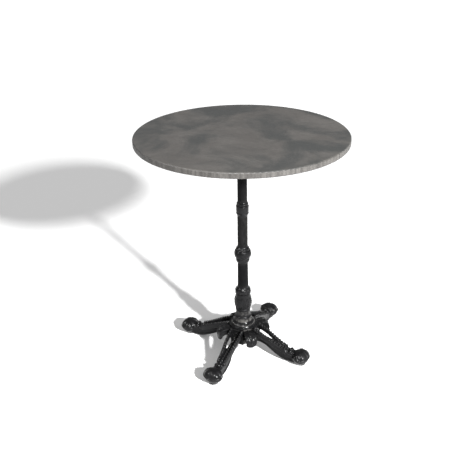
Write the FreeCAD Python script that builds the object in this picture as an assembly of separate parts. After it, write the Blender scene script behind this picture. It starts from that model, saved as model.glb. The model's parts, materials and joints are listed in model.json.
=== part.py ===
import FreeCAD, Part
import math
import os

# Bistro table: moulded round top on a cast-iron pedestal with four legs.
# Millimetres, +Z up, origin on the floor under the centre of the top.
# Leg 1 points along +X; the other legs follow every quarter turn.

V = FreeCAD.Vector
ORIGIN = V(0, 0, 0)
UP = V(0, 0, 1)

# Driving dimensions of the table
TABLE_HEIGHT = 720.0
TOP_DIAMETER = 600.0
RIM_HEIGHT = 17.0
LEG_COUNT = 4
FOOT_CIRCLE_RADIUS = 200.0

# Moulded top
TOP_RADIUS = TOP_DIAMETER / 2
RIM_WIDTH = 28.0
RECESS_DEPTH = 3.0
TOP_EDGE_ROUND = 3.0
RIM_BOTTOM = TABLE_HEIGHT - RIM_HEIGHT
BOARD_BOTTOM = RIM_BOTTOM + RECESS_DEPTH

# Fasteners of the top
INSERT_CIRCLE_RADIUS = 125.0
INSERT_RADIUS = 5.0
INSERT_LENGTH = 11.0
M6_RADIUS = 3.0
M6_CLEARANCE_RADIUS = 3.3
BUTTON_HEAD_RADIUS = 5.6
BUTTON_HEAD_HEIGHT = 3.5
M6_WASHER_RADIUS = 7.0
THREAD_CLEARANCE = 0.05
WASHER_THICKNESS = 1.2

# Spider bracket
SPIDER_ARM_LENGTH = 142.0
SPIDER_ARM_THICKNESS = 6.0
SPIDER_ARM_HALF_WIDTH = 13.0
SPIDER_TIP_RADIUS = 10.0
SPIDER_RIB_THICKNESS = 6.0
SPIDER_RIB_ROOT = 20.0
SPIDER_RIB_DROP = 8.0
SPIDER_BOSS_RADIUS = 22.0
SPIDER_BOSS_BOTTOM = 676.0

# Tie rod, M10
ROD_RADIUS = 5.0
ROD_HOLE_RADIUS = 5.5
ROD_BOTTOM = 58.0
ROD_TOP = BOARD_BOTTOM - 1.5
NUT_HEIGHT = 8.0
NUT_ACROSS_FLATS = 17.0
NUT_SEAT = BOARD_BOTTOM - 13.0
NUT_POCKET_RADIUS = 14.0
TOP_WASHER_RADIUS = 12.0
BOTTOM_WASHER_RADIUS = 20.0
ROD_WASHER_THICKNESS = 3.0

# Stacked column: height of each joint between castings, floor upwards
HUB_TOP = 112.0
HUB_COLLAR_TOP = 148.0
VASE_TOP = 207.0
VASE_RING_TOP = 233.0
LOWER_SHAFT_TOP = 316.0
KNOP_TOP = 373.0
MIDDLE_SHAFT_TOP = 470.0
UPPER_COLLAR_TOP = 516.0
LOWER_SHAFT_FOOT_RADIUS = 16.8
LOWER_SHAFT_HEAD_RADIUS = 15.6
MIDDLE_SHAFT_RADIUS = 15.2
UPPER_SHAFT_FOOT_RADIUS = 14.2
UPPER_SHAFT_HEAD_RADIUS = 14.0
TUBE_BORE_RADIUS = 10.0
SPIGOT_RADIUS = 9.9
SPIGOT_LENGTH = 8.0

# Hub casting
HUB_BOTTOM = 42.0
HUB_FLAT = 38.0
HUB_FLAT_HALF_WIDTH = 22.0
HUB_CAVITY_RADIUS = 26.0
HUB_CAVITY_TOP = 78.0
FLANGE_RADIUS = 44.0
FLANGE_BOTTOM = 94.0

# Leg casting: a root plate on the hub, a deep central bar, and two slim side straps
LEG_ROOT_HALF_WIDTH = HUB_FLAT_HALF_WIDTH
LEG_WEB = 8.0
LEG_WEB_HALF_WIDTH = 5.5
LEG_BAR_HALF_WIDTH = 14.0
LEG_WALL = 5.5
BAR_END_INSET = 16.0
BAR_END_HEIGHT = 42.0
BAR_FLARE_START = 82.0
BAR_FLARE_END = 118.0
CORE_WALL_HEIGHT = 40.0
SLOT_HALF_WIDTH = 15.5
SLOT_END = 110.0
STRAP_FRONT_HALF_WIDTH = 20.5
STRAP_MIDDLE = 120.0
STRAP_MIDDLE_HALF_WIDTH = 16.5
STRAP_END = 150.0
CREST_HEIGHT = 4.0
FOOT_RADIUS = 26.5
FOOT_BROADENING = 1.17
FOOT_SOLE_RADIUS = 16.0
FOOT_BOTTOM = 3.0
FOOT_TOP = 51.0
FOOT_CROWN_RADIUS = 6.0

# Leaf casting
LEAF_ROOT = (HUB_FLAT + HUB_FLAT_HALF_WIDTH) / math.sqrt(2)
LEAF_HALF_WIDTH = 17.5
LEAF_TIP_HALF_WIDTH = 16.5
LEAF_TIP_CENTRE = 70.5
LEAF_BOTTOM = 53.0
LEAF_CORNER = 9.0
LEAF_ROOT_HALF_WIDTH = 10.0
LEAF_SHOULDER = 60.0

# Socket-head screws from inside the hub: M8 into the legs, M6 into the leaves
M8_RADIUS = 4.0
M8_CLEARANCE_RADIUS = 4.4
M8_HEAD_RADIUS = 6.5
M8_HEAD_HEIGHT = 8.0
M8_KEY = 6.0
M6_HEAD_RADIUS = 5.0
M6_HEAD_HEIGHT = 6.0
M6_KEY = 5.0
SEAT_CLEARANCE = 0.5
LEG_BOLT_HEIGHT = 60.0
LEG_BOLT_SEAT = 30.0
LEG_BOLT_GRIP = 14.0
LEAF_SCREW_HEIGHT = 66.0
LEAF_SCREW_SEAT = 34.0
LEAF_SCREW_GRIP = 12.0

# Levelling glides, M8
GLIDE_COLLAR_ACROSS_FLATS = 13.0
GLIDE_PAD_RADIUS = 12.0
GLIDE_PAD_HEIGHT = 4.5
GLIDE_PAD_ROUND = 1.0
GLIDE_FLANGE_RADIUS = 6.0
GLIDE_FLANGE_BOTTOM = 1.6
GLIDE_FLANGE_TOP = 3.2
GLIDE_COLLAR_BOTTOM = 5.0
GLIDE_COLLAR_TOP = 9.0
GLIDE_STOP_GAP = 0.3
GLIDE_STUD_TOP = 36.0
GLIDE_RECESS_RADIUS = 13.0
GLIDE_BORE_TOP = 38.0


def outline(start, *steps):
    """Closed face in the XZ plane. A step is the next point, or an arc's middle and end."""
    edges = []
    here = start
    for step in steps + (start,):
        if isinstance(step[0], tuple):
            middle, there = step
            edge = Part.Arc(V(here[0], 0, here[1]), V(middle[0], 0, middle[1]), V(there[0], 0, there[1]))
        else:
            there = step
            edge = Part.LineSegment(V(here[0], 0, here[1]), V(there[0], 0, there[1]))
        edges.append(edge.toShape())
        here = there
    return Part.Face(Part.Wire(edges))


def turned(start, *steps):
    """Solid of revolution about Z from a closed outline of (radius, height) points."""
    return outline(start, *steps).revolve(ORIGIN, UP, 360)


def flat_outline(points):
    """Closed polygon in the XY plane."""
    corners = [V(x, y, 0) for x, y in points]
    return Part.Face(Part.makePolygon(corners + corners[:1]))


def mirrored_outline(half):
    """Polygon in the XY plane from one side's points, mirrored about X."""
    other = [(x, -y) for x, y in reversed(half)]
    return flat_outline(half + other)


def rod(radius, bottom, top):
    return Part.makeCylinder(radius, top - bottom, V(0, 0, bottom), UP)


def ring(outer, inner, bottom, top):
    return rod(outer, bottom, top).cut(rod(inner, bottom - 1, top + 1))


def hexagon(across_flats, bottom, top):
    radius = across_flats / math.sqrt(3)
    corners = [(radius * math.cos(math.radians(60 * k)), radius * math.sin(math.radians(60 * k)))
               for k in range(6)]
    prism = flat_outline(corners).extrude(V(0, 0, top - bottom))
    return prism.translated(V(0, 0, bottom))


def turned_to(shape, angle):
    """Copy turned about the table's axis."""
    copy = shape.copy()
    copy.rotate(ORIGIN, UP, angle)
    return copy


def leg_angles(offset=0.0):
    return [offset + 360.0 / LEG_COUNT * k for k in range(LEG_COUNT)]


def quartet(shape, offset=0.0):
    """Four separate copies, one per leg or arm."""
    return Part.makeCompound([turned_to(shape, angle) for angle in leg_angles(offset)])


def lying(shape, distance, height):
    """A part made along +Z at the origin, laid along +X at the given height."""
    copy = shape.copy()
    copy.rotate(ORIGIN, V(0, 1, 0), 90)
    return copy.translated(V(distance, 0, height))


# ---------------------------------------------------------------- top

def table_top():
    e = TOP_EDGE_ROUND
    s = e * (1 - math.sqrt(0.5))
    inner = TOP_RADIUS - RIM_WIDTH
    board = turned(
        (0, BOARD_BOTTOM),
        (inner, BOARD_BOTTOM),
        (inner + RECESS_DEPTH, RIM_BOTTOM),
        (TOP_RADIUS - e, RIM_BOTTOM),
        ((TOP_RADIUS - s, RIM_BOTTOM + s), (TOP_RADIUS, RIM_BOTTOM + e)),
        (TOP_RADIUS, TABLE_HEIGHT - e),
        ((TOP_RADIUS - s, TABLE_HEIGHT - s), (TOP_RADIUS - e, TABLE_HEIGHT)),
        (0, TABLE_HEIGHT))
    pocket = rod(INSERT_RADIUS, BOARD_BOTTOM - 1, BOARD_BOTTOM + INSERT_LENGTH)
    pocket.translate(V(INSERT_CIRCLE_RADIUS, 0, 0))
    return board.cut(quartet(pocket))


def top_inserts():
    sleeve = ring(INSERT_RADIUS, M6_RADIUS + THREAD_CLEARANCE, BOARD_BOTTOM, BOARD_BOTTOM + INSERT_LENGTH)
    return quartet(sleeve.translated(V(INSERT_CIRCLE_RADIUS, 0, 0)))


def top_spider():
    arm_bottom = BOARD_BOTTOM - SPIDER_ARM_THICKNESS
    rib_bottom = SPIDER_BOSS_BOTTOM + SPIDER_RIB_DROP
    tip_centre = SPIDER_ARM_LENGTH - SPIDER_TIP_RADIUS
    arm = mirrored_outline([(0, SPIDER_ARM_HALF_WIDTH), (tip_centre, SPIDER_TIP_RADIUS)])
    arm = arm.extrude(V(0, 0, SPIDER_ARM_THICKNESS)).translated(V(0, 0, arm_bottom))
    tip = rod(SPIDER_TIP_RADIUS, arm_bottom, BOARD_BOTTOM).translated(V(tip_centre, 0, 0))
    rib = outline((0, arm_bottom), (INSERT_CIRCLE_RADIUS - 2 * SPIDER_RIB_THICKNESS, arm_bottom),
                  (SPIDER_RIB_ROOT, rib_bottom), (0, rib_bottom))
    rib = rib.extrude(V(0, SPIDER_RIB_THICKNESS, 0)).translated(V(0, -SPIDER_RIB_THICKNESS / 2, 0))
    hole = rod(M6_CLEARANCE_RADIUS, arm_bottom - 1, BOARD_BOTTOM + 1)
    hole.translate(V(INSERT_CIRCLE_RADIUS, 0, 0))
    arm = arm.fuse([tip, rib]).cut(hole)
    boss = turned(
        (0, SPIDER_BOSS_BOTTOM - SPIGOT_LENGTH),
        (SPIGOT_RADIUS, SPIDER_BOSS_BOTTOM - SPIGOT_LENGTH),
        (SPIGOT_RADIUS, SPIDER_BOSS_BOTTOM),
        (16, SPIDER_BOSS_BOTTOM),
        ((20.5, SPIDER_BOSS_BOTTOM + 4), (SPIDER_BOSS_RADIUS, SPIDER_BOSS_BOTTOM + 12)),
        (SPIDER_BOSS_RADIUS, BOARD_BOTTOM),
        (0, BOARD_BOTTOM))
    arms = [turned_to(arm, angle) for angle in leg_angles()]
    bracket = boss.fuse(arms)
    nut_pocket = rod(NUT_POCKET_RADIUS, NUT_SEAT, BOARD_BOTTOM + 1)
    rod_hole = rod(ROD_HOLE_RADIUS, SPIDER_BOSS_BOTTOM - SPIGOT_LENGTH - 1, BOARD_BOTTOM)
    return bracket.cut(nut_pocket).cut(rod_hole).removeSplitter()


def top_screws():
    head_top = BOARD_BOTTOM - SPIDER_ARM_THICKNESS - WASHER_THICKNESS
    crown = head_top - BUTTON_HEAD_HEIGHT
    head = turned((0, crown), (3.6, crown), ((5.0, crown + 0.8), (BUTTON_HEAD_RADIUS, crown + 2.3)),
                  (BUTTON_HEAD_RADIUS, head_top), (0, head_top))
    socket = hexagon(4, head_top - 4, head_top - 1.5)
    shank = rod(M6_RADIUS, head_top, BOARD_BOTTOM + INSERT_LENGTH - 1.5)
    screw = head.fuse(shank).cut(socket)
    return quartet(screw.translated(V(INSERT_CIRCLE_RADIUS, 0, 0)))


def top_screw_washers():
    top = BOARD_BOTTOM - SPIDER_ARM_THICKNESS
    washer = ring(M6_WASHER_RADIUS, M6_CLEARANCE_RADIUS, top - WASHER_THICKNESS, top)
    return quartet(washer.translated(V(INSERT_CIRCLE_RADIUS, 0, 0)))


# ---------------------------------------------------------------- tie rod

def rod_nut(bottom):
    return hexagon(NUT_ACROSS_FLATS, bottom, bottom + NUT_HEIGHT).cut(
        rod(ROD_RADIUS + THREAD_CLEARANCE, bottom - 1, bottom + NUT_HEIGHT + 1))


def tie_rod_parts():
    seat = HUB_CAVITY_TOP - ROD_WASHER_THICKNESS
    return {
        "tie_rod": rod(ROD_RADIUS, ROD_BOTTOM, ROD_TOP),
        "tie_rod_top_washer": ring(TOP_WASHER_RADIUS, ROD_HOLE_RADIUS, NUT_SEAT,
                                   NUT_SEAT + ROD_WASHER_THICKNESS),
        "tie_rod_top_nut": rod_nut(NUT_SEAT + ROD_WASHER_THICKNESS),
        "tie_rod_bottom_washer": ring(BOTTOM_WASHER_RADIUS, ROD_HOLE_RADIUS, seat, HUB_CAVITY_TOP),
        "tie_rod_bottom_nut": rod_nut(seat - NUT_HEIGHT),
    }


# ---------------------------------------------------------------- column

def tube(bottom, bottom_radius, top, top_radius):
    return turned(
        (TUBE_BORE_RADIUS, bottom),
        (bottom_radius, bottom),
        (top_radius, top),
        (TUBE_BORE_RADIUS, top))


def spigot(joint, direction):
    """Short register that centres a collar in the tube beyond the joint."""
    far = joint + direction * SPIGOT_LENGTH
    return rod(SPIGOT_RADIUS, min(joint, far), max(joint, far))


def with_rod_hole(shape):
    return shape.cut(rod(ROD_HOLE_RADIUS, 0, TABLE_HEIGHT)).removeSplitter()


def upper_collar():
    low, high = MIDDLE_SHAFT_TOP, UPPER_COLLAR_TOP
    body = turned(
        (0, low),
        (15.4, low),
        ((16.2, low + 5), (17.6, low + 9)),
        ((18.8, low + 10.5), (18.4, low + 13)),
        (19.0, low + 22),
        (19.0, low + 30),
        ((18.6, low + 34), (17.2, low + 36)),
        ((17.9, low + 39.5), (17.0, low + 42.5)),
        ((15.6, low + 44), (14.4, high)),
        (0, high))
    return with_rod_hole(body.fuse([spigot(low, -1), spigot(high, 1)]))


def middle_knop():
    low, high = LOWER_SHAFT_TOP, KNOP_TOP
    body = turned(
        (0, low),
        (16.0, low),
        (16.4, low + 2),
        ((19.4, low + 4), (20.6, low + 8)),
        ((21.2, low + 12), (20.4, low + 16)),
        ((21.6, low + 19.5), (24.6, low + 22)),
        ((26.6, low + 31), (24.2, low + 40)),
        (20.6, low + 43.5),
        ((21.2, low + 47), (19.6, low + 50)),
        ((16.8, low + 52), (15.6, high)),
        (0, high))
    return with_rod_hole(body.fuse([spigot(low, -1), spigot(high, 1)]))


def vase_ring():
    low, high = VASE_TOP, VASE_RING_TOP
    body = turned(
        (0, low),
        (22.2, low),
        ((24.9, low + 10), (22.6, low + 18.5)),
        ((19.0, low + 21.5), (17.0, high)),
        (0, high))
    return with_rod_hole(body.fuse(spigot(high, 1)))


def vase():
    low, high = HUB_COLLAR_TOP, VASE_TOP
    body = turned(
        (0, low),
        (22.4, low),
        ((23.8, low + 3), (22.6, low + 6)),
        (24.6, low + 8),
        ((28.2, low + 26), (24.4, low + 47)),
        (22.2, high),
        (0, high))
    hollow = rod(TUBE_BORE_RADIUS, low - 1, high - 12)
    return with_rod_hole(body.cut(hollow))


def hub_collar():
    low, high = HUB_TOP, HUB_COLLAR_TOP
    body = turned(
        (0, low),
        (26.8, low),
        (26.8, low + 13),
        ((26.2, low + 14.8), (24.4, low + 15.4)),
        ((22.9, low + 18), (22.6, low + 22)),
        (22.6, high),
        (0, high))
    return with_rod_hole(body.fuse(spigot(high, 1)))


def column_parts():
    return {
        "hub_collar": hub_collar(),
        "vase": vase(),
        "vase_ring": vase_ring(),
        "lower_shaft": tube(VASE_RING_TOP, LOWER_SHAFT_FOOT_RADIUS, LOWER_SHAFT_TOP, LOWER_SHAFT_HEAD_RADIUS),
        "middle_knop": middle_knop(),
        "middle_shaft": tube(KNOP_TOP, MIDDLE_SHAFT_RADIUS, MIDDLE_SHAFT_TOP, MIDDLE_SHAFT_RADIUS),
        "upper_collar": upper_collar(),
        "upper_shaft": tube(UPPER_COLLAR_TOP, UPPER_SHAFT_FOOT_RADIUS, SPIDER_BOSS_BOTTOM,
                            UPPER_SHAFT_HEAD_RADIUS),
    }


# ---------------------------------------------------------------- hub

def radial_hole(radius, start, end, height):
    return lying(rod(radius, start, end), 0, height)


def base_hub():
    face, half = HUB_FLAT, HUB_FLAT_HALF_WIDTH
    corners = []
    for angle in leg_angles():
        for x, y in ((face, -half), (face, half)):
            corner = V(x, y, 0)
            corners.append(FreeCAD.Rotation(UP, angle).multVec(corner))
    core = Part.Face(Part.makePolygon(corners + corners[:1]))
    core = core.extrude(V(0, 0, FLANGE_BOTTOM - HUB_BOTTOM)).translated(V(0, 0, HUB_BOTTOM))
    flange = turned(
        (0, FLANGE_BOTTOM),
        (FLANGE_RADIUS - 2, FLANGE_BOTTOM),
        ((FLANGE_RADIUS, FLANGE_BOTTOM + 2), (FLANGE_RADIUS - 1.5, FLANGE_BOTTOM + 4)),
        ((FLANGE_RADIUS - 4, FLANGE_BOTTOM + 4), (FLANGE_RADIUS - 6, FLANGE_BOTTOM + 6)),
        ((FLANGE_RADIUS - 10, FLANGE_BOTTOM + 11), (FLANGE_RADIUS - 15, HUB_TOP - 3)),
        (FLANGE_RADIUS - 17, HUB_TOP),
        (0, HUB_TOP))
    hub = core.fuse(flange).cut(rod(HUB_CAVITY_RADIUS, HUB_BOTTOM - 1, HUB_CAVITY_TOP))
    hub = hub.cut(rod(ROD_HOLE_RADIUS, HUB_BOTTOM, HUB_TOP + 1))
    seat_start = HUB_CAVITY_RADIUS - 6
    leg_hole = radial_hole(M8_CLEARANCE_RADIUS, seat_start, HUB_FLAT + 1, LEG_BOLT_HEIGHT)
    leg_seat = radial_hole(M8_HEAD_RADIUS + SEAT_CLEARANCE, seat_start, LEG_BOLT_SEAT, LEG_BOLT_HEIGHT)
    leaf_hole = radial_hole(M6_CLEARANCE_RADIUS, seat_start, LEAF_ROOT + 1, LEAF_SCREW_HEIGHT)
    leaf_seat = radial_hole(M6_HEAD_RADIUS + SEAT_CLEARANCE, seat_start, LEAF_SCREW_SEAT, LEAF_SCREW_HEIGHT)
    holes = [turned_to(leg_hole.fuse(leg_seat), angle) for angle in leg_angles()]
    holes += [turned_to(leaf_hole.fuse(leaf_seat), angle) for angle in leg_angles(45)]
    return hub.cut(holes).removeSplitter()


# ---------------------------------------------------------------- legs

def crest_line(drop=0.0):
    """Top of the bar from foot to hub: steps of an outline, lowered by drop."""
    return [
        (FOOT_CIRCLE_RADIUS - BAR_END_INSET, BAR_END_HEIGHT - drop),
        (164, BAR_END_HEIGHT - drop),
        ((112, 58 - drop), (52, 82 - drop)),
        (HUB_FLAT, 88 - drop)]


def bar_side(drop):
    """Upright outline of the leg's deep central bar."""
    return outline(
        (HUB_FLAT, HUB_BOTTOM),
        (58, HUB_BOTTOM),
        ((100, 29), (146, 9)),
        (FOOT_CIRCLE_RADIUS - BAR_END_INSET, 6),
        *crest_line(drop))


def strap_side():
    """Upright outline of the slim straps that brace the bar against the hub."""
    root = HUB_FLAT + LEG_WEB - 1
    shoulder = FLANGE_RADIUS + 1.5
    return outline(
        (root, 78),
        ((76, 66), (112, 46)),
        (STRAP_END, 30),
        (STRAP_END, 45),
        ((108, 67), (60, 91)),
        (shoulder, FLANGE_BOTTOM + 4),
        (shoulder, FLANGE_BOTTOM - 0.5),
        (root, FLANGE_BOTTOM - 0.5))


def upright_plate(outline_face):
    """Extrude an XZ outline both ways across the leg."""
    half = LEG_ROOT_HALF_WIDTH + 5
    return outline_face.extrude(V(0, 2 * half, 0)).translated(V(0, -half, 0))


def broadened(shape, factor):
    """Copy stretched across the leg."""
    stretch = FreeCAD.Matrix()
    stretch.scale(1, factor, 1)
    return shape.transformGeometry(stretch)


def leg_foot():
    """Broad ball foot with the glide's recess and threaded hole in its sole."""
    r, m = FOOT_RADIUS, (FOOT_BOTTOM + FOOT_TOP) / 2
    h = FOOT_TOP - m
    c = math.sqrt(0.5)
    recess_top = GLIDE_COLLAR_TOP + GLIDE_STOP_GAP
    ball = turned(
        (0, FOOT_BOTTOM),
        (FOOT_SOLE_RADIUS, FOOT_BOTTOM),
        ((FOOT_SOLE_RADIUS + 6, FOOT_BOTTOM + 5), (r * 0.97, m - h * 0.3)),
        ((r, m), (r * c, m + h * c)),
        ((r * 0.5, m + h * 0.9), (FOOT_CROWN_RADIUS, FOOT_TOP)),
        (0, FOOT_TOP))
    ball = broadened(ball, FOOT_BROADENING)
    thread = rod(M8_RADIUS + THREAD_CLEARANCE, FOOT_BOTTOM - 1, GLIDE_BORE_TOP)
    recess = rod(GLIDE_RECESS_RADIUS, FOOT_BOTTOM - 1, recess_top)
    return ball.cut(thread.fuse(recess)).translated(V(FOOT_CIRCLE_RADIUS, 0, 0))


def leg_casting():
    tall = UP * TABLE_HEIGHT
    end = FOOT_CIRCLE_RADIUS - BAR_END_INSET
    web, bar = LEG_WEB_HALF_WIDTH, LEG_BAR_HALF_WIDTH
    root_plate = Part.makeBox(LEG_WEB, 2 * LEG_ROOT_HALF_WIDTH, FLANGE_BOTTOM - 0.5 - HUB_BOTTOM,
                              V(HUB_FLAT, -LEG_ROOT_HALF_WIDTH, HUB_BOTTOM))
    body_plan = mirrored_outline([
        (HUB_FLAT, web + 2.5),
        (60, web),
        (BAR_FLARE_START, web),
        (BAR_FLARE_END, bar),
        (end, bar)])
    crest_plan = mirrored_outline([(HUB_FLAT, web), (end, web)])
    straps_plan = mirrored_outline([
        (HUB_FLAT + LEG_WEB - 1, LEG_ROOT_HALF_WIDTH),
        (BAR_FLARE_START, STRAP_FRONT_HALF_WIDTH),
        (STRAP_MIDDLE, STRAP_MIDDLE_HALF_WIDTH),
        (STRAP_END, bar + 0.5)])
    slot = mirrored_outline([
        (HUB_FLAT, SLOT_HALF_WIDTH),
        (BAR_FLARE_START, SLOT_HALF_WIDTH - 1.5),
        (SLOT_END, web + 0.5)])
    body = upright_plate(bar_side(CREST_HEIGHT)).common(body_plan.extrude(tall))
    crest = upright_plate(bar_side(0)).common(crest_plan.extrude(tall))
    straps = upright_plate(strap_side()).common(straps_plan.extrude(tall)).cut(slot.extrude(tall))
    core = outline((BAR_FLARE_END, 0), (BAR_FLARE_END, CORE_WALL_HEIGHT), (156, 28), (166, 0))
    core = core.extrude(V(0, 2 * (bar - LEG_WALL), 0)).translated(V(0, LEG_WALL - bar, 0))
    thread = radial_hole(M8_RADIUS + THREAD_CLEARANCE, HUB_FLAT - 1, HUB_FLAT + LEG_BOLT_GRIP + 1,
                         LEG_BOLT_HEIGHT)
    leg = body.fuse([crest, straps, root_plate]).cut([core, thread])
    return leg.fuse(leg_foot()).removeSplitter()


def cap_screw(radius, head_radius, head_height, socket, seat, end):
    """Socket-head screw lying along +Z with its head below the seat."""
    head = rod(head_radius, seat - head_height, seat)
    key = hexagon(socket, seat - head_height - 1, seat - head_height / 2)
    return head.cut(key).fuse(rod(radius, seat, end))


def leg_bolts():
    bolt = cap_screw(M8_RADIUS, M8_HEAD_RADIUS, M8_HEAD_HEIGHT, M8_KEY, LEG_BOLT_SEAT,
                     HUB_FLAT + LEG_BOLT_GRIP)
    return quartet(lying(bolt, 0, LEG_BOLT_HEIGHT))


# ---------------------------------------------------------------- leaves

def leaf_front():
    """Block whose cross-section is the leaf's outline seen end on, with its lower corners rounded."""
    half, low, corner = LEAF_HALF_WIDTH, LEAF_BOTTOM, LEAF_CORNER
    face = outline(
        (-half, FLANGE_BOTTOM),
        (-half, low + corner + 2),
        ((corner * 0.3 - half, low + corner * 0.3), (corner - half, low)),
        (half - corner, low),
        ((half - corner * 0.3, low + corner * 0.3), (half, low + corner + 2)),
        (half, FLANGE_BOTTOM))
    face.rotate(ORIGIN, UP, 90)
    return face.extrude(V(LEAF_TIP_CENTRE + LEAF_HALF_WIDTH, 0, 0))


def leaf_casting():
    """Drooping leaf that hangs outwards and down from a diagonal face of the hub."""
    tip = LEAF_TIP_CENTRE + LEAF_TIP_HALF_WIDTH
    side = outline(
        (LEAF_ROOT, 50),
        (LEAF_ROOT, FLANGE_BOTTOM - 0.5),
        (58, FLANGE_BOTTOM - 0.5),
        ((76, 90), (85.5, 77)),
        ((tip, 68), (86, 58)),
        ((81, 53.5), (75, 56)),
        ((66, 68), (52, 55)))
    side = side.extrude(V(0, 4 * LEAF_HALF_WIDTH, 0)).translated(V(0, -2 * LEAF_HALF_WIDTH, 0))
    root = mirrored_outline([
        (LEAF_ROOT, LEAF_ROOT_HALF_WIDTH),
        (LEAF_SHOULDER, LEAF_HALF_WIDTH),
        (LEAF_TIP_CENTRE, LEAF_TIP_HALF_WIDTH)])
    root = root.extrude(UP * 120)
    end = rod(LEAF_TIP_HALF_WIDTH, 0, 120).translated(V(LEAF_TIP_CENTRE, 0, 0))
    thread = radial_hole(M6_RADIUS + THREAD_CLEARANCE, LEAF_ROOT - 1, LEAF_ROOT + LEAF_SCREW_GRIP + 1,
                         LEAF_SCREW_HEIGHT)
    return side.common(root.fuse(end)).common(leaf_front()).cut(thread).removeSplitter()


def leaf_screws():
    screw = cap_screw(M6_RADIUS, M6_HEAD_RADIUS, M6_HEAD_HEIGHT, M6_KEY, LEAF_SCREW_SEAT,
                      LEAF_ROOT + LEAF_SCREW_GRIP)
    return quartet(lying(screw, 0, LEAF_SCREW_HEIGHT), 45)


# ---------------------------------------------------------------- levelling glides

def glide_pad():
    r, h, e = GLIDE_PAD_RADIUS, GLIDE_PAD_HEIGHT, GLIDE_PAD_ROUND
    s = e * (1 - math.sqrt(0.5))
    pad = turned((0, 0), (r - e, 0), ((r - s, s), (r, e)), (r, h - e), ((r - s, h - s), (r - e, h)), (0, h))
    pocket = rod(GLIDE_FLANGE_RADIUS + THREAD_CLEARANCE, GLIDE_FLANGE_BOTTOM - THREAD_CLEARANCE,
                 GLIDE_FLANGE_TOP + THREAD_CLEARANCE)
    mouth = rod(M8_RADIUS + THREAD_CLEARANCE, GLIDE_FLANGE_TOP, h + 1)
    return pad.cut(pocket.fuse(mouth)).translated(V(FOOT_CIRCLE_RADIUS, 0, 0))


def glide_stud():
    flange = rod(GLIDE_FLANGE_RADIUS, GLIDE_FLANGE_BOTTOM, GLIDE_FLANGE_TOP)
    collar = hexagon(GLIDE_COLLAR_ACROSS_FLATS, GLIDE_COLLAR_BOTTOM, GLIDE_COLLAR_TOP)
    shank = rod(M8_RADIUS, GLIDE_FLANGE_TOP, GLIDE_STUD_TOP)
    return flange.fuse([collar, shank]).translated(V(FOOT_CIRCLE_RADIUS, 0, 0))


# ---------------------------------------------------------------- assembly

def all_parts():
    parts = {
        "table_top": table_top(),
        "top_inserts": top_inserts(),
        "top_spider": top_spider(),
        "top_screws": top_screws(),
        "top_screw_washers": top_screw_washers(),
        "base_hub": base_hub(),
        "leg_bolts": leg_bolts(),
        "leaf_screws": leaf_screws(),
    }
    parts.update(tie_rod_parts())
    parts.update(column_parts())
    leg, leaf, pad, stud = leg_casting(), leaf_casting(), glide_pad(), glide_stud()
    for number, angle in enumerate(leg_angles(), 1):
        parts["leg_%d" % number] = turned_to(leg, angle)
        parts["leaf_%d" % number] = turned_to(leaf, angle + 45)
        parts["glide_pad_%d" % number] = turned_to(pad, angle)
        parts["glide_stud_%d" % number] = turned_to(stud, angle)
    return parts


os.makedirs("parts", exist_ok=True)
for name, shape in all_parts().items():
    shape.exportStep("parts/%s.step" % name)
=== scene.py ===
import json
import math

import bpy
from mathutils import Matrix, Vector


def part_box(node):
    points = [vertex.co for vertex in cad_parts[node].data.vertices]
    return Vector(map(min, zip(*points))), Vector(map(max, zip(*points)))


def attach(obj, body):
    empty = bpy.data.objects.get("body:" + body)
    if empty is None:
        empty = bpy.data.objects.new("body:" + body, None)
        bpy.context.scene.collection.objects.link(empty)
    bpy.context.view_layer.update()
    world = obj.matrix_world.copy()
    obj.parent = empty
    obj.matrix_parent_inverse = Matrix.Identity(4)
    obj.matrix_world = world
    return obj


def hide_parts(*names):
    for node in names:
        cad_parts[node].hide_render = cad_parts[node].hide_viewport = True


# Bistro table with a moulded stone-decor top on a black cast-iron pedestal.
# Outlines are written in millimetres and become metres when a mesh is made.
# Carved castings replace the plain CAD ones; tubes, fasteners and glides stay as the CAD has them.

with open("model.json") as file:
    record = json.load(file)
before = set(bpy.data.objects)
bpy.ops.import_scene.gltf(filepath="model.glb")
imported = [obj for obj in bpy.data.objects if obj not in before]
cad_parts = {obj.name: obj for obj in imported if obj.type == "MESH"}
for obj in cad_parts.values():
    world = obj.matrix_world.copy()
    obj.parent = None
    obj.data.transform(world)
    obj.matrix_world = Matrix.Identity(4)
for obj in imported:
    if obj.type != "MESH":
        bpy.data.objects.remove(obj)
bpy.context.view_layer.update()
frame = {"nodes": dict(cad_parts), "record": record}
MM = 0.001
LEG_COUNT = 4
ROOT = "table"
IRON_SLOT = "black_cast_iron"


def level(node, top=False):
    """Lowest or highest point of a CAD node, in millimetres."""
    low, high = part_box(node)
    return (high if top else low).z / MM


GLIDE_PAD_RADIUS = 12
FOOT_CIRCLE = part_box("glide_pad_1")[1].x / MM - GLIDE_PAD_RADIUS
FOOT_TOP = 51.0
FOOT_BOTTOM = level("leg_1")


# ---------------------------------------------------------------- mesh kit

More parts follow.
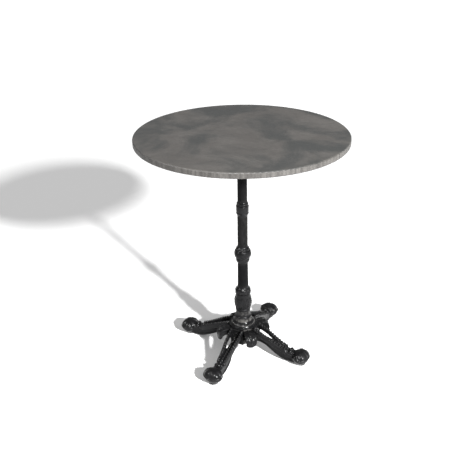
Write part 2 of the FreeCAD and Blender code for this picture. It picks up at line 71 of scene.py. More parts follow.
def arc_points(a, b, c, steps):
    """Points on the arc from a through b to c, without a itself."""
    (ax, ay), (bx, by), (cx, cy) = a, b, c
    d = 2 * (ax * (by - cy) + bx * (cy - ay) + cx * (ay - by))
    if abs(d) < 1e-9:
        return [b, c]
    a2, b2, c2 = ax * ax + ay * ay, bx * bx + by * by, cx * cx + cy * cy
    ux = (a2 * (by - cy) + b2 * (cy - ay) + c2 * (ay - by)) / d
    uy = (a2 * (cx - bx) + b2 * (ax - cx) + c2 * (bx - ax)) / d
    radius = math.hypot(ax - ux, ay - uy)
    start, middle, end = (math.atan2(y - uy, x - ux) for x, y in (a, b, c))
    turn = (end - start) % (2 * math.pi)
    if (middle - start) % (2 * math.pi) > turn:
        turn -= 2 * math.pi
    angles = [start + turn * k / steps for k in range(1, steps + 1)]
    return [(ux + radius * math.cos(t), uy + radius * math.sin(t)) for t in angles]


def trace(start, *steps, grain=1.2):
    """Closely spaced points along an outline. A step is a point, or an arc's middle and end."""
    points = [start]
    for step in steps:
        here = points[-1]
        if isinstance(step[0], tuple):
            middle, there = step
            length = math.dist(here, middle) + math.dist(middle, there)
            points += arc_points(here, middle, there, max(4, round(length / grain)))
        else:
            count = max(1, round(math.dist(here, step) / grain))
            points += [tuple(a + (b - a) * k / count for a, b in zip(here, step))
                       for k in range(1, count + 1)]
    return points


def curve(*points):
    """Smooth function through (x, value) points."""
    xs = [p[0] for p in points]
    ys = [p[1] for p in points]
    slopes = [(b - a) / (d - c) for a, b, c, d in zip(ys, ys[1:], xs, xs[1:])]
    inner = [(m + n) / 2 if m * n > 0 else 0.0 for m, n in zip(slopes, slopes[1:])]
    tangents = [slopes[0]] + inner + [slopes[-1]]

    def value(x):
        x = min(max(x, xs[0]), xs[-1])
        k = max(i for i in range(len(xs) - 1) if xs[i] <= x or i == 0)
        span = xs[k + 1] - xs[k]
        t = (x - xs[k]) / span
        h1, h2 = (1 + 2 * t) * (1 - t) ** 2, t * (1 - t) ** 2
        h3, h4 = t * t * (3 - 2 * t), t * t * (t - 1)
        return (h1 * ys[k] + h2 * span * tangents[k]
                + h3 * ys[k + 1] + h4 * span * tangents[k + 1])

    return value


def hump(x, centre, width):
    """Bell curve that is 1 at its centre."""
    return math.exp(-((x - centre) / width) ** 2)


def steps_between(start, end, spacing):
    """Even steps from start to end, as close to the spacing as they fit."""
    count = max(1, round((end - start) / spacing))
    return [start + (end - start) * k / count for k in range(count + 1)]


def make_piece(name, shells, sharp=40):
    """One mesh object from shells, each a (vertices in mm, faces) pair."""
    vertices, faces = [], []
    for points, polygons in shells:
        offset = len(vertices)
        vertices += [(x * MM, y * MM, z * MM) for x, y, z in points]
        faces += [[offset + i for i in polygon] for polygon in polygons]
    mesh = bpy.data.meshes.new(name)
    mesh.from_pydata(vertices, [], faces)
    mesh.validate()
    mesh.shade_smooth()
    mesh.set_sharp_from_angle(angle=math.radians(sharp))
    piece = bpy.data.objects.new(name, mesh)
    bpy.context.scene.collection.objects.link(piece)
    return piece


def skin(loops, closed=False):
    """Shell over loops of equal length. It is capped at both ends, or closed into a ring."""
    size, rows = len(loops[0]), len(loops)
    vertices = [point for loop in loops for point in loop]
    faces = []
    for j in range(rows if closed else rows - 1):
        a, b = j * size, (j + 1) % rows * size
        faces += [(a + i, a + (i + 1) % size, b + (i + 1) % size, b + i) for i in range(size)]
    if not closed:
        faces += [tuple(reversed(range(size))), tuple((rows - 1) * size + i for i in range(size))]
    return vertices, faces


def revolved(outline, relief=None, count=144):
    """Ring shell from a closed (radius, height) outline. The relief adds to the radius."""
    loops = []
    for k in range(count):
        a = 2 * math.pi * k / count
        c, s = math.cos(a), math.sin(a)
        row = [(r + relief(a, r, z) if relief else r, z) for r, z in outline]
        loops.append([(r * c, r * s, z) for r, z in row])
    return skin(loops, closed=True)


def ball(centre, radius, squash=1.0, rows=8, count=12):
    """Bead with flat poles."""
    cx, cy, cz = centre
    turns = [2 * math.pi * k / count for k in range(count)]
    loops = []
    for j in range(1, rows):
        t = math.pi * j / rows - math.pi / 2
        r, z = radius * math.cos(t), radius * squash * math.sin(t)
        loops.append([(cx + r * math.cos(a), cy + r * math.sin(a), cz + z) for a in turns])
    return skin(loops)


def melted(name, shells, voxel, passes):
    """Overlapping shells run together into one casting with soft inner corners."""
    rough = make_piece(name + "_rough", shells)
    remesh = rough.modifiers.new("fuse", "REMESH")
    remesh.mode = "VOXEL"
    remesh.voxel_size = voxel * MM
    remesh.use_smooth_shade = True
    soften = rough.modifiers.new("soften", "SMOOTH")
    soften.factor = 0.5
    soften.iterations = passes
    graph = bpy.context.evaluated_depsgraph_get()
    mesh = bpy.data.meshes.new_from_object(rough.evaluated_get(graph))
    bpy.data.objects.remove(rough)
    mesh.name = name
    mesh.materials.clear()
    return mesh


def place(name, mesh, angle=0.0):
    """Object for a shared mesh, turned about the table's axis."""
    piece = bpy.data.objects.new(name, mesh)
    piece.matrix_world = Matrix.Rotation(math.radians(angle), 4, "Z")
    bpy.context.scene.collection.objects.link(piece)
    return piece


# ---------------------------------------------------------------- materials

def new_material(name):
    """Material with one surface shader."""
    material = bpy.data.materials.new(name)
    material.use_nodes = True
    nodes = material.node_tree.nodes
    nodes.clear()
    shader = nodes.new("ShaderNodeBsdfPrincipled")
    output = nodes.new("ShaderNodeOutputMaterial")
    material.node_tree.links.new(shader.outputs["BSDF"], output.inputs["Surface"])
    return material, shader


class Wiring:
    """Short calls for the node graph of one material."""

    def __init__(self, material):
        self.nodes = material.node_tree.nodes
        self.links = material.node_tree.links
        self.place = self.nodes.new("ShaderNodeTexCoord").outputs["Object"]

    def link(self, source, target):
        self.links.new(source, target)

    def stretched(self, scale):
        mapping = self.nodes.new("ShaderNodeMapping")
        mapping.inputs["Scale"].default_value = scale
        self.link(self.place, mapping.inputs["Vector"])
        return mapping.outputs["Vector"]

    def shifted(self, offset):
        mapping = self.nodes.new("ShaderNodeMapping")
        mapping.inputs["Location"].default_value = offset
        self.link(self.place, mapping.inputs["Vector"])
        return mapping.outputs["Vector"]

    def noise(self, scale, detail=4.0, roughness=0.55, distortion=0.0, vector=None):
        node = self.nodes.new("ShaderNodeTexNoise")
        node.inputs["Scale"].default_value = scale
        node.inputs["Detail"].default_value = detail
        node.inputs["Roughness"].default_value = roughness
        node.inputs["Distortion"].default_value = distortion
        self.link(vector or self.place, node.inputs["Vector"])
        return node.outputs["Fac"]

    def ramp(self, source, low, high, low_value=0.0, high_value=1.0):
        node = self.nodes.new("ShaderNodeMapRange")
        node.interpolation_type = "SMOOTHSTEP"
        for key, value in (("From Min", low), ("From Max", high),
                           ("To Min", low_value), ("To Max", high_value)):
            node.inputs[key].default_value = value
        self.link(source, node.inputs["Value"])
        return node.outputs["Result"]

    def maths(self, kind, a, b):
        node = self.nodes.new("ShaderNodeMath")
        node.operation = kind
        for socket, value in zip(node.inputs, (a, b)):
            if isinstance(value, (int, float)):
                socket.default_value = value
            else:
                self.link(value, socket)
        return node.outputs["Value"]

    def mix(self, factor, a, b, kind="MIX"):
        node = self.nodes.new("ShaderNodeMix")
        node.data_type = "RGBA"
        node.blend_type = kind
        self.link(factor, node.inputs["Factor"])
        for key, value in (("A", a), ("B", b)):
            socket = [s for s in node.inputs if s.name == key and s.type == "RGBA"][0]
            if isinstance(value, tuple):
                socket.default_value = (*value, 1.0)
            else:
                self.link(value, socket)
        return [s for s in node.outputs if s.type == "RGBA"][0]

    def bump(self, height, strength, distance, shader):
        node = self.nodes.new("ShaderNodeBump")
        node.inputs["Strength"].default_value = strength
        node.inputs["Distance"].default_value = distance
        self.link(height, node.inputs["Height"])
        self.link(node.outputs["Normal"], shader.inputs["Normal"])

    def edges(self, low, high):
        return self.ramp(self.nodes.new("ShaderNodeNewGeometry").outputs["Pointiness"], low, high)


def painted_iron(name, paint, roughness, grain, wear_and_highlight, gloss):
    """Brushed-on black paint over a sand casting: slight pools, sandy grain, rubbed high spots that
    are partly wear and partly painted highlight.
    """
    material, shader = new_material(name)
    w = Wiring(material)
    pools = w.noise(38, 5, 0.6)
    sand = w.noise(520, 3, 0.6)
    lumps = w.noise(95, 3, 0.5)
    dust = w.noise(16, 6, 0.65)
    thin_paint = tuple(c * 1.7 for c in paint)
    dusty_paint = tuple(c * 2.6 + 0.004 for c in paint)
    bare_iron_and_highlight = (0.085, 0.082, 0.078)
    coat = w.mix(w.ramp(pools, 0.35, 0.7), paint, thin_paint)
    dusty = w.mix(w.ramp(dust, 0.52, 0.8, 0.0, 0.35), coat, dusty_paint)
    patches = w.ramp(w.noise(140, 4), 0.3, 0.6, 0.0, wear_and_highlight)
    # Pale rubbed spots on beads and sharp edges: partly edge wear, partly a painted highlight that
    # stands in for glints on the beads.
    rubbed_and_highlight = w.maths("MULTIPLY", w.edges(0.515, 0.60), patches)
    w.link(w.mix(rubbed_and_highlight, dusty, bare_iron_and_highlight), shader.inputs["Base Color"])
    w.link(w.ramp(pools, 0.3, 0.75, roughness - 0.07, roughness + 0.1), shader.inputs["Roughness"])
    shader.inputs["Specular IOR Level"].default_value = gloss
    shader.inputs["Coat Weight"].default_value = gloss / 2
    shader.inputs["Coat Roughness"].default_value = 0.12
    w.bump(w.maths("ADD", w.maths("MULTIPLY", sand, 0.35), lumps), grain, 0.0012, shader)
    return material


def stone_top(name):
    """Stone decor: warm grey ground with soft darker clouds, a fine mottle and a streaked rim kept
    dark as painted shade on the side faces.
    """
    material, shader = new_material(name)
    w = Wiring(material)
    warm, pale = (0.062, 0.0575, 0.053), (0.083, 0.078, 0.0725)
    cloud, deep = (0.031, 0.033, 0.0325), (0.017, 0.018, 0.0175)
    ground = w.mix(w.ramp(w.noise(9, 6, 0.62, 0.4), 0.35, 0.68), warm, pale)
    drift = w.noise(5.2, 5, 0.6, 0.5, w.shifted((0.31, 0.12, 0.0)))
    clouds = w.ramp(drift, 0.42, 0.6, 0.0, 1.0)
    colour = w.mix(clouds, ground, cloud)
    blotches = w.ramp(w.noise(14, 8, 0.7, 0.3), 0.56, 0.8, 0.0, 0.55)
    colour = w.mix(blotches, colour, deep)
    mottle = w.ramp(w.noise(75, 6, 0.7), 0.3, 0.7, 0.0, 0.32)
    colour = w.mix(mottle, colour, tuple(c * 0.62 for c in warm))
    fleck = w.ramp(w.noise(420, 2, 0.5), 0.6, 0.75, 0.0, 0.22)
    colour = w.mix(fleck, colour, tuple(c * 1.45 for c in pale))
    streaks = w.noise(130, 5, 0.65, 0.0, w.stretched((1.0, 1.0, 0.05)))
    # Upright rim faces take their own streaked colour: partly the decor's streaks, partly a painted
    # shade that keeps the side darker than the key light leaves it.
    upright = w.nodes.new("ShaderNodeSeparateXYZ")
    w.link(w.nodes.new("ShaderNodeNewGeometry").outputs["True Normal"], upright.inputs[0])
    side = w.ramp(w.maths("ABSOLUTE", upright.outputs["Z"], 0), 0.75, 0.25)
    dark_streak_in_painted_shade = tuple(c * 0.55 for c in warm)
    light_streak_in_painted_shade = tuple(c * 0.9 for c in pale)
    rim = w.mix(w.ramp(streaks, 0.35, 0.68), dark_streak_in_painted_shade, light_streak_in_painted_shade)
    w.link(w.mix(side, colour, rim), shader.inputs["Base Color"])
    w.link(w.ramp(w.noise(30, 5, 0.6), 0.3, 0.7, 0.46, 0.6), shader.inputs["Roughness"])
    shader.inputs["Specular IOR Level"].default_value = 0.35
    w.bump(w.noise(300, 4, 0.6), 0.12, 0.0004, shader)
    return material


def plated_steel(name):
    """Zinc plate with cloudy patches and fine turning marks."""
    material, shader = new_material(name)
    w = Wiring(material)
    cloudy = w.noise(160, 4, 0.6)
    dull, bright = (0.52, 0.52, 0.50), (0.68, 0.67, 0.62)
    w.link(w.mix(w.ramp(cloudy, 0.35, 0.7), dull, bright), shader.inputs["Base Color"])
    w.link(w.ramp(cloudy, 0.3, 0.7, 0.26, 0.42), shader.inputs["Roughness"])
    shader.inputs["Metallic"].default_value = 1.0
    w.bump(w.noise(900, 3, 0.6, 0.0, w.stretched((1.0, 1.0, 6.0))), 0.15, 0.0002, shader)
    return material


def turned_brass(name):
    """Turned brass with brown tarnish."""
    material, shader = new_material(name)
    w = Wiring(material)
    tarnish = w.noise(240, 4, 0.6)
    clean, stained = (0.70, 0.50, 0.22), (0.42, 0.29, 0.13)
    w.link(w.mix(w.ramp(tarnish, 0.4, 0.7), clean, stained), shader.inputs["Base Color"])
    w.link(w.ramp(tarnish, 0.3, 0.7, 0.25, 0.45), shader.inputs["Roughness"])
    shader.inputs["Metallic"].default_value = 1.0
    w.bump(w.noise(700, 2, 0.5, 0.0, w.stretched((1.0, 1.0, 9.0))), 0.2, 0.0002, shader)
    return material


def moulded_nylon(name):
    """Dark nylon with pale scuffs."""
    material, shader = new_material(name)
    w = Wiring(material)
    scuffs = w.noise(210, 6, 0.7, 0.6)
    black, scuffed = (0.022, 0.022, 0.023), (0.075, 0.072, 0.068)
    w.link(w.mix(w.ramp(scuffs, 0.5, 0.75), black, scuffed), shader.inputs["Base Color"])
    w.link(w.ramp(scuffs, 0.4, 0.75, 0.42, 0.68), shader.inputs["Roughness"])
    w.bump(w.noise(800, 3, 0.6), 0.25, 0.0003, shader)
    return material


IRON = painted_iron("black_iron", (0.0046, 0.0046, 0.0049), 0.27, 0.32, 1.0, 0.08)
TUBE = painted_iron("black_tube", (0.0034, 0.0034, 0.0036), 0.40, 0.16, 0.06, 0.02)
BRACKET = painted_iron("bracket_iron", (0.016, 0.016, 0.017), 0.45, 0.4, 0.1, 0.1)
FINISHES = {
    "moulded_top": stone_top("stone_decor"),
    IRON_SLOT: IRON,
    "black_tube": TUBE,
    "bracket_iron": BRACKET,
    "zinc_steel": plated_steel("plated_steel"),
    "brass_insert": turned_brass("turned_brass"),
    "glide_plastic": moulded_nylon("moulded_nylon"),
}


def finish_node(node, slot):
    """Puts the slot's material on a carried-over CAD node."""
    mesh_object = frame["nodes"][node]
    mesh_object.data.materials.clear()
    mesh_object.data.materials.append(FINISHES[slot])


def cast(piece, *nodes):
    """Black-iron piece that stands for CAD nodes and rides with the table."""
    if not piece.data.materials:
        piece.data.materials.append(IRON)
    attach(piece, ROOT)
    if nodes:
        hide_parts(*nodes)
    return piece


for subpart in frame["record"]["subparts"]:
    finish_node(subpart["node"], subpart["material_slot"])


# ---------------------------------------------------------------- column castings

BORE = 5.5
CARVED_FROM = 12  # Points nearer the axis belong to the bore and stay round.
PETALS = 6
HUB_BEADS = 42
HUB_BEAD_CIRCLE = 34.2
HUB_BEAD_RADIUS = 2.35


def petal(angle):
    """0 in the seam between two petals, 1 at a petal's middle."""
    return abs(math.cos(PETALS / 2 * (angle + math.pi / PETALS + math.pi / 6)))


def seam(angle, sharpness=0.18):
    """1 in the seam between two petals, falling off quickly to both sides."""
    if petal(angle) >= 1:
        return 0.0
    return hump(math.sin(math.acos(petal(angle))), 1, sharpness)


def collar_outline(base, *steps):
    """Closed outline of a turned casting: up the outside and back down the bore."""
    outer = trace(*steps)
    low, high = outer[0][1], outer[-1][1]
    floor = trace((BORE, low), (outer[0][0], low), grain=3)
    roof = trace((outer[-1][0], high), (BORE, high), grain=3)
    inner = trace((BORE, high), (BORE, low), grain=6)
    return [(r, base + z) for r, z in floor[:-1] + outer + roof[1:] + inner[1:-1]]


def petal_relief(bands):
    """Relief that cuts seams between petals inside height bands of (low, high, depth)."""
    def relief(angle, r, z):
        if r < CARVED_FROM:
            return 0.0
        total = 0.0
        for low, high, depth in bands:
            middle, half = (low + high) / 2, (high - low) / 2
            fade = max(0.0, 1 - ((z - middle) / half) ** 2)
            total -= depth * fade * seam(angle)
        return total
    return relief


def build_upper_collar():
    low = level("upper_collar") + 8
    outline = collar_outline(
        low, (15.4, 0), ((16.2, 5), (17.4, 8)), ((18.9, 10.4), (18.2, 13)),
        ((18.1, 15), (18.9, 18)), (19.0, 30), ((18.7, 33.6), (16.9, 35.2)),
        ((16.2, 36.4), (16.7, 37.6)), ((17.9, 40), (16.6, 42.6)), ((15.2, 44.2), (14.4, 46)))
    relief = petal_relief([(low + 16, low + 36, 0.5), (low + 37, low + 44, 0.9)])
    cast(make_piece("collar_casting", [revolved(outline, relief)]), "upper_collar")


def build_knop():
    low = level("middle_knop") + 8
    outline = collar_outline(
        low, (16.0, 0), (16.4, 2), ((19.4, 4), (20.5, 8)), ((21.2, 12), (20.0, 15.5)),
        ((19.9, 17), (21.4, 18.6)), ((23.8, 20.6), (25.2, 24)), ((26.5, 31), (24.6, 38.6)),
        ((23.4, 41.4), (21.2, 42.6)), ((19.4, 43.8), (19.2, 45)), ((20.9, 47.6), (19.6, 50.4)),
        ((17.2, 52.6), (15.6, 57)))
    relief = petal_relief([(low + 20, low + 42, 0.7), (low + 44, low + 52, 1.0)])
    cast(make_piece("knop_casting", [revolved(outline, relief)]), "middle_knop")


def build_vase_ring():
    """Ring of six petals whose tips droop over the vase."""
    low = level("vase_ring")
    outline = collar_outline(
        low, (21.9, 0), ((22.4, 1.2), (23.6, 2.4)), ((25.6, 9), (23.0, 16.6)),
        ((20.6, 19.6), (18.8, 21.4)), ((17.4, 23.6), (17.0, 26)))
    relief = petal_relief([(low - 2, low + 20, 2.6)])
    vertices, faces = revolved(outline, relief, 216)
    drooped = []
    for x, y, z in vertices:
        r, a = math.hypot(x, y), math.atan2(y, x)
        sag = 1.6 * (petal(a) - 0.5) * max(0.0, (r - 21) / 4) * max(0.0, 1 - (z - low) / 20)
        drooped.append((x, y, max(low, z - sag)))
    cast(make_piece("petal_ring_casting", [(drooped, faces)]), "vase_ring")


def build_vase():
    """Vase with carved leaves: raised edges, lozenges, midribs and fine veins."""
    low, high = level("vase"), level("vase_ring")
    foot = low + 1
    outline = collar_outline(
        low, (22.4, 1), ((23.9, 4), (22.7, 7)), ((22.4, 8), (24.2, 9.4)),
        ((28.1, 27), (24.6, 47)), (22.2, high - low))
    bulb_low, bulb_high = foot + 9, high - 2

    def relief(angle, r, z):
        if r < CARVED_FROM or not bulb_low < z < bulb_high:
            return 0.0
        v = (z - bulb_low) / (bulb_high - bulb_low)
        u = abs((angle * PETALS / (2 * math.pi) + 0.5) % 1 - 0.5) * 2
        edge = hump(u, 0.08 + 0.9 * v ** 0.8, 0.11)
        lozenge = hump(u, 0.95 - 0.9 * v ** 0.8, 0.09)
        midrib = hump(u, 0, 0.07) * hump(v, 0.6, 0.4)
        veins = 0.5 + 0.5 * math.cos(2 * math.pi * (v * 7 - u * 2.2))
        fade = min(1.0, 6 * v, 6 * (1 - v))
        return fade * (0.75 * edge + 0.5 * lozenge + 0.7 * midrib + 0.35 * veins - 0.9)

    cast(make_piece("vase_casting", [revolved(outline, relief, 240)]), "vase")


def build_hub_flange():
    """Moulded flange over the hub: rolled lip, groove, bead seat and cove up to the collar."""
    high = level("base_hub", True)
    outline = trace((26, high - 17.9), (41.6, high - 17.9),
                    ((44, high - 15.6), (41.8, high - 13.2)),
                    ((40.2, high - 13.6), (39.2, high - 14.6)),
                    ((37.8, high - 13.8), (37.4, high - 11.2)), (30.4, high - 6.8),
                    ((28.6, high - 4), (27.4, high - 0.1)), (26, high - 0.1), grain=0.8)
    cast(make_piece("hub_flange_casting", [revolved(outline)]))
    angles = [2 * math.pi * k / HUB_BEADS for k in range(HUB_BEADS)]
    beads = [ball((HUB_BEAD_CIRCLE * math.cos(a), HUB_BEAD_CIRCLE * math.sin(a), high - 8.6),
                  HUB_BEAD_RADIUS, 0.95) for a in angles]
    cast(make_piece("hub_bead_row", beads))


# ---------------------------------------------------------------- leaves

# Side outlines are (distance from the axis, height). The half width runs from root to tip.
LEAF_FRONT = trace((38.0, 93.0), (58, 93.0), ((76, 89.6), (85.2, 77)), ((86.8, 68), (85.6, 58)),
                   grain=1)
LEAF_BACK = trace((44.0, 52), (52, 57), ((66, 69.5), (74, 57.5)), grain=1)
LEAF_HALF = curve((0, 12.5), (0.3, 16.6), (0.55, 17.6), (0.85, 17.2), (1.0, 15.0))
LEAF_ROWS = 48


def leaf_row(t):
    """Cross-section of the leaf at t of the way from root to tip, with rim, midrib and veins."""
    ox, oz = LEAF_FRONT[round(t * (len(LEAF_FRONT) - 1))]
    ix, iz = LEAF_BACK[round(t * (len(LEAF_BACK) - 1))]
    half, row = LEAF_HALF(t), []
    for k in range(33):
        u = k / 16 - 1
        crown = -3.8 * u * u
        rim = 1.9 * hump(abs(u), 0.86, 0.11)
        rib = 2.2 * hump(u, 0, 0.1) * min(1.0, 4 * (1.05 - t))
        veins = 0.6 * math.cos(2 * math.pi * (6 * t + 2 * abs(u))) * (1 - abs(u)) * min(1.0, 5 * t)
        lift = crown + rim + rib + veins - 1.2
        row.append((ox + lift * (0.25 + 0.7 * t), half * u, oz + lift * (0.8 - 0.6 * t)))
    return row + [(ix, half * u * 0.8, iz) for u in (1, 0.5, 0, -0.5, -1)]


def leaf_shells():
    """Drooping leaf along +X whose broad tip curls over a rolled edge."""
    offsets = [2.8 * k for k in range(-4, 5)]
    rolled = [ball((81.0 - y * y * 0.02, y, 57.6 + y * y * 0.03), 5.0, 1.0, 8, 14) for y in offsets]
    return [skin([leaf_row(j / LEAF_ROWS) for j in range(LEAF_ROWS + 1)])] + rolled


def build_leaves():
    mesh = melted("leaf_casting", leaf_shells(), 0.7, 1)
    mesh.materials.append(IRON)
    for k in range(LEG_COUNT):
        cast(place("leaf_casting_%d" % (k + 1), mesh, 90 * k + 45), "leaf_%d" % (k + 1))


# ---------------------------------------------------------------- legs

# Each curve runs out along the leg: (distance from the axis, height or half width).
BAR_TOP = curve((38, 86), (52, 79.5), (75, 68), (95, 61), (118, 54), (140, 48.5), (160, 43.5),
                (190, 41))
BAR_BOTTOM = curve((38, 42.5), (58, 42.5), (80, 37), (100, 29.5), (125, 18), (146, 9.5),
                   (165, 7), (190, 7))
BAR_HALF = curve((38, 8), (60, 5.7), (80, 6.2), (98, 10.3), (118, 14), (150, 14.4), (190, 14.4))
STRAP_TOP = curve((44, 96), (60, 89), (84, 78), (108, 65.5), (130, 54), (152, 45))
STRAP_BOTTOM = curve((44, 78), (60, 72.5), (76, 66), (96, 55.5), (112, 46), (152, 30))
STRAP_MIDDLE = curve((44, 18.4), (80, 17.4), (96, 15.4), (112, 13.4), (152, 10.9))
STRAP_HALF = curve((44, 3.8), (80, 3.9), (96, 4.9), (112, 5.0), (152, 4.4))
BAR_HOLLOW = curve((118, 0.2), (126, 18), (150, 20), (160, 12), (168, 0.2))
BEAD_SPACING = 8.2


def bar_loop(x):
    """Cross-section of the central bar: a sunk panel on each flank and a hollow underside."""
    top, low, half = BAR_TOP(x), BAR_BOTTOM(x), BAR_HALF(x)
    panel = 1.6 * min(1.0, max(0.0, (x - 54) / 10), max(0.0, (180 - x) / 8))
    hollow, wide = BAR_HOLLOW(x), half > 8
    shoulder = 0.62 * half if wide else 0.8 * half
    right = [(0.45 * half, top - 0.6), (shoulder, top - 1.4), (half, top - (6.5 if wide else 4)),
             (half, top - 9), (half - panel, top - 10.8), (half - panel, low + 8),
             (half, low + 6.4), (half, low + 1.6), (half - 1.2, low), (half * 0.6, low),
             (half * 0.6, low + hollow)]
    left = [(-y, z) for y, z in reversed(right)]
    return [(x, y, z) for y, z in [(0, top)] + right + left]


def strap_loop(x, side):
    """Cross-section of a side strap, with softened corners."""
    top, low, middle, half = STRAP_TOP(x), STRAP_BOTTOM(x), STRAP_MIDDLE(x), STRAP_HALF(x)
    corners = [(-half, low + 1.2), (1.2 - half, low), (half - 1.2, low), (half, low + 1.2),
               (half, top - 2.6), (half - 1.0, top - 1.0), (0, top - 0.3),
               (1.0 - half, top - 1.0), (-half, top - 2.6)]
    loop = [(x, side * (middle + y), z) for y, z in corners]
    return loop if side > 0 else loop[::-1]


def root_plate():
    """Flange of the leg against the hub, with rounded upright edges."""
    half, low, high = 21.8, 42.3, 93.3
    plan = trace((38, -half), (44, -half), ((45.6, -half + 0.8), (46, -half + 3)),
                 (46, half - 3), ((45.6, half - 0.8), (44, half)), (38, half), grain=3)
    return skin([[(x, y, z) for x, y in plan] for z in steps_between(low, high, 4)])


FOOT_MIDDLE = (FOOT_BOTTOM + FOOT_TOP) / 2
FOOT_REACH = (26.2, 30.6)  # Along the leg and across it.
FOOT_RISE = (FOOT_TOP - FOOT_BOTTOM) / 2 - 1.0


def flank_of(angle):
    """Degrees round the foot from its outer end, the same on both sides."""
    return abs(math.degrees(angle if angle <= math.pi else angle - 2 * math.pi))


def lip_height(flank):
    """Height of the rolled lip round the foot, with a pointed notch on each flank."""
    return 28.5 + 13 * max(0.0, 1 - abs(flank - 106) / 22)


def foot_point(angle, tilt, lift=0.0):
    """Point on the ball, or lifted off it, before the foot moves out to its place."""
    rise = FOOT_RISE + lift
    return ((FOOT_REACH[0] + lift) * math.cos(tilt) * math.cos(angle),
            (FOOT_REACH[1] + lift) * math.cos(tilt) * math.sin(angle),
            FOOT_MIDDLE + rise * math.sin(tilt))


def foot_shell():
    """Ball foot under a folded leaf cap, with the recess and bore for its glide."""
    count, rows, sole = 96, 44, math.radians(-56)
    glide_bore = ((5.0, 37.5), (5.0, 9.4), (13.0, 9.4), (13.0, FOOT_BOTTOM), (15.5, FOOT_BOTTOM))
    loops = []
    for k in range(count):
        a = 2 * math.pi * k / count
        lip = lip_height(flank_of(a))
        c, s = math.cos(a), math.sin(a)
        loop = [(r * c, r * s, z) for r, z in glide_bore]
        for j in range(rows):
            tilt = sole + (math.radians(89.2) - sole) * j / (rows - 1)
            z = foot_point(a, tilt)[2]
            below = 1 / (1 + math.exp((z - lip) / 0.8))
            fade = min(1.0, max(0.0, (FOOT_TOP - z) / 8))
            rib = 1.8 * abs(math.cos(2.5 * a)) ** 8 * (1 - below) * fade
            x, y, z = foot_point(a, tilt, 0.6 - 1.6 * below * min(1.0, j / 4) - rib)
            loop.append((x, y, max(z, FOOT_BOTTOM)))
        loop.append((0.35 * c, 0.35 * s, 37.5))
        loops.append([(FOOT_CIRCLE + x, y, z) for x, y, z in loop])
    return skin(loops, closed=True)


def foot_lip():
    """Rolled edge of the leaf cap: a cord that follows the lip round the foot."""
    count, cord, radius = 120, 10, 2.1
    loops = []
    for k in range(count):
        a = 2 * math.pi * k / count
        height = lip_height(flank_of(a)) + 0.6
        tilt = math.asin(max(-1.0, min(1.0, (height - FOOT_MIDDLE) / FOOT_RISE)))
        x, y, z = foot_point(a, tilt)
        centre = Vector((FOOT_CIRCLE + x, y, z))
        out, up = Vector((math.cos(a), math.sin(a), 0)), Vector((0, 0, 1))
        turns = [2 * math.pi * j / cord for j in range(cord)]
        loops.append([tuple(centre + out * (radius * math.cos(t) - 0.2)
                            + up * (radius * math.sin(t))) for t in turns])
    return skin(loops, closed=True)


def leg_shells():
    """One leg along +X: bar, beaded side straps, root flange, foot and the leaf knob over it."""
    bar = skin([bar_loop(x) for x in steps_between(38, 188, 2)])
    shells = [bar, root_plate(), foot_shell(), foot_lip()]
    for side in (-1, 1):
        shells.append(skin([strap_loop(x, side) for x in steps_between(43, 152, 2)]))
        for x in steps_between(49, 148, BEAD_SPACING):
            shells.append(ball((x, side * STRAP_MIDDLE(x), STRAP_TOP(x) + 0.3), 3.7))
    for x in steps_between(62, 156, BEAD_SPACING):
        shells.append(ball((x, 0, BAR_TOP(x) + 0.4), 3.2))
    shells.append(ball((168, 0, 42.5), 6.2))
    shells += [ball((167, side * 8.5, 39.5), 5.8) for side in (-1, 1)]
    return shells


def build_legs():
    mesh = melted("leg_casting", leg_shells(), 0.75, 1)
    mesh.materials.append(IRON)
    for k in range(LEG_COUNT):
        cast(place("leg_casting_%d" % (k + 1), mesh, 90 * k), "leg_%d" % (k + 1))


build_upper_collar()
build_knop()
build_vase_ring()
build_vase()
build_hub_flange()
build_leaves()
build_legs()


# ---------------------------------------------------------------- studio

# The camera's place is in metres and its angles are in degrees. The focal length and the shift
# are on the scale of a square image that is IMAGE_SIZE wide.
IMAGE_SIZE = 475
FOCAL_PIXELS = 649.8
CAMERA_REACH = 1.7301
CAMERA_HEIGHT = 1.2715
CAMERA_AZIMUTH = 26.89
CAMERA_PITCH, CAMERA_ROLL, CAMERA_YAW = 26.78, 0.48, 0.07
FRAMING_SHIFT = (-4.4, 0.04)


def add_camera():
    azimuth = math.radians(CAMERA_AZIMUTH)
    where = Vector((CAMERA_REACH * math.sin(azimuth), -CAMERA_REACH * math.cos(azimuth),
                    CAMERA_HEIGHT))
    heading = math.atan2(-where.y, -where.x) + math.radians(CAMERA_YAW)
    pitch, roll = math.radians(CAMERA_PITCH), math.radians(CAMERA_ROLL)
    level_forward = Vector((math.cos(heading), math.sin(heading), 0))
    right = Vector((math.sin(heading), -math.cos(heading), 0))
    forward = level_forward * math.cos(pitch) - Vector((0, 0, math.sin(pitch)))
    up = level_forward * math.sin(pitch) + Vector((0, 0, math.cos(pitch)))
    rolled_right = right * math.cos(roll) - up * math.sin(roll)
    rolled_up = right * math.sin(roll) + up * math.cos(roll)
    data = bpy.data.cameras.new("camera")
    data.sensor_width = 36.0
    data.lens = FOCAL_PIXELS / IMAGE_SIZE * data.sensor_width
    data.shift_x, data.shift_y = (value / IMAGE_SIZE for value in FRAMING_SHIFT)
    camera = bpy.data.objects.new("camera", data)
    axes = Matrix((rolled_right, rolled_up, -forward)).transposed().to_4x4()
    camera.matrix_world = Matrix.Translation(where) @ axes
    bpy.context.scene.collection.objects.link(camera)
    bpy.context.scene.camera = camera


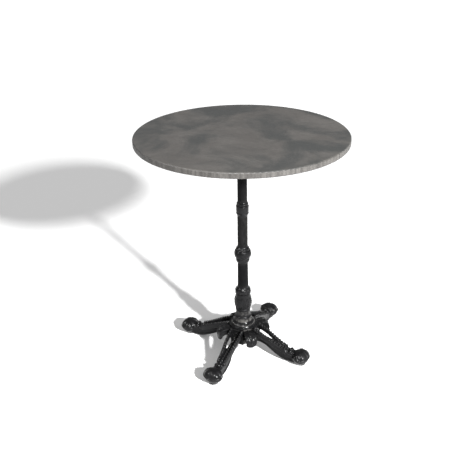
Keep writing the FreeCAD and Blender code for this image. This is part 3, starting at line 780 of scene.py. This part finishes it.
def add_floor():
    """Pale floor that glows a little more with distance, so it stays white far from the key."""
    half = 20.0
    corners = [(-half, -half, 0), (half, -half, 0), (half, half, 0), (-half, half, 0)]
    mesh = bpy.data.meshes.new("floor")
    mesh.from_pydata(corners, [], [(0, 1, 2, 3)])
    floor = bpy.data.objects.new("floor", mesh)
    bpy.context.scene.collection.objects.link(floor)
    material, shader = new_material("pale_floor")
    shader.inputs["Base Color"].default_value = (0.9, 0.9, 0.9, 1)
    shader.inputs["Roughness"].default_value = 1.0
    shader.inputs["Specular IOR Level"].default_value = 0.0
    shader.inputs["Emission Color"].default_value = (1, 1, 1, 1)
    w = Wiring(material)
    reach = w.nodes.new("ShaderNodeVectorMath")
    reach.operation = "LENGTH"
    w.link(w.place, reach.inputs[0])
    w.link(w.ramp(reach.outputs["Value"], 1.9, 4.5, 0.1, 0.7), shader.inputs["Emission Strength"])
    mesh.materials.append(material)


def aim(light, target=Vector((0, 0, 0.3))):
    light.rotation_mode = "QUATERNION"
    light.rotation_quaternion = (target - light.location).to_track_quat("-Z", "Y")


def add_key_light():
    """Small key light from the right that throws the long shadow to the left."""
    data = bpy.data.lights.new("key", "AREA")
    data.shape, data.size, data.energy = "DISK", 0.3, 680
    key = bpy.data.objects.new("key", data)
    key.location = (3.59, -1.97, 2.52)
    aim(key, Vector((-0.6, 0.33, 0.0)))
    bpy.context.scene.collection.objects.link(key)


def add_glint(name, location, size, energy):
    """Softbox that shows only as a reflection in the gloss paint."""
    data = bpy.data.lights.new(name, "AREA")
    data.shape, data.size, data.energy = "SQUARE", size, energy
    glint = bpy.data.objects.new(name, data)
    glint.location = location
    aim(glint)
    glint.visible_diffuse = False
    bpy.context.scene.collection.objects.link(glint)


def add_world():
    world = bpy.data.worlds.new("studio")
    bpy.context.scene.world = world
    world.use_nodes = True
    background = world.node_tree.nodes["Background"]
    background.inputs["Color"].default_value = (1, 1, 1, 1)
    background.inputs["Strength"].default_value = 0.50


add_camera()
add_floor()
add_world()
add_key_light()
add_glint("glint_front", (0.75, -1.5, 2.2), 0.3, 90)
add_glint("glint_left", (-1.2, -1.3, 1.8), 0.3, 50)
bpy.context.scene.view_settings.view_transform = "Standard"
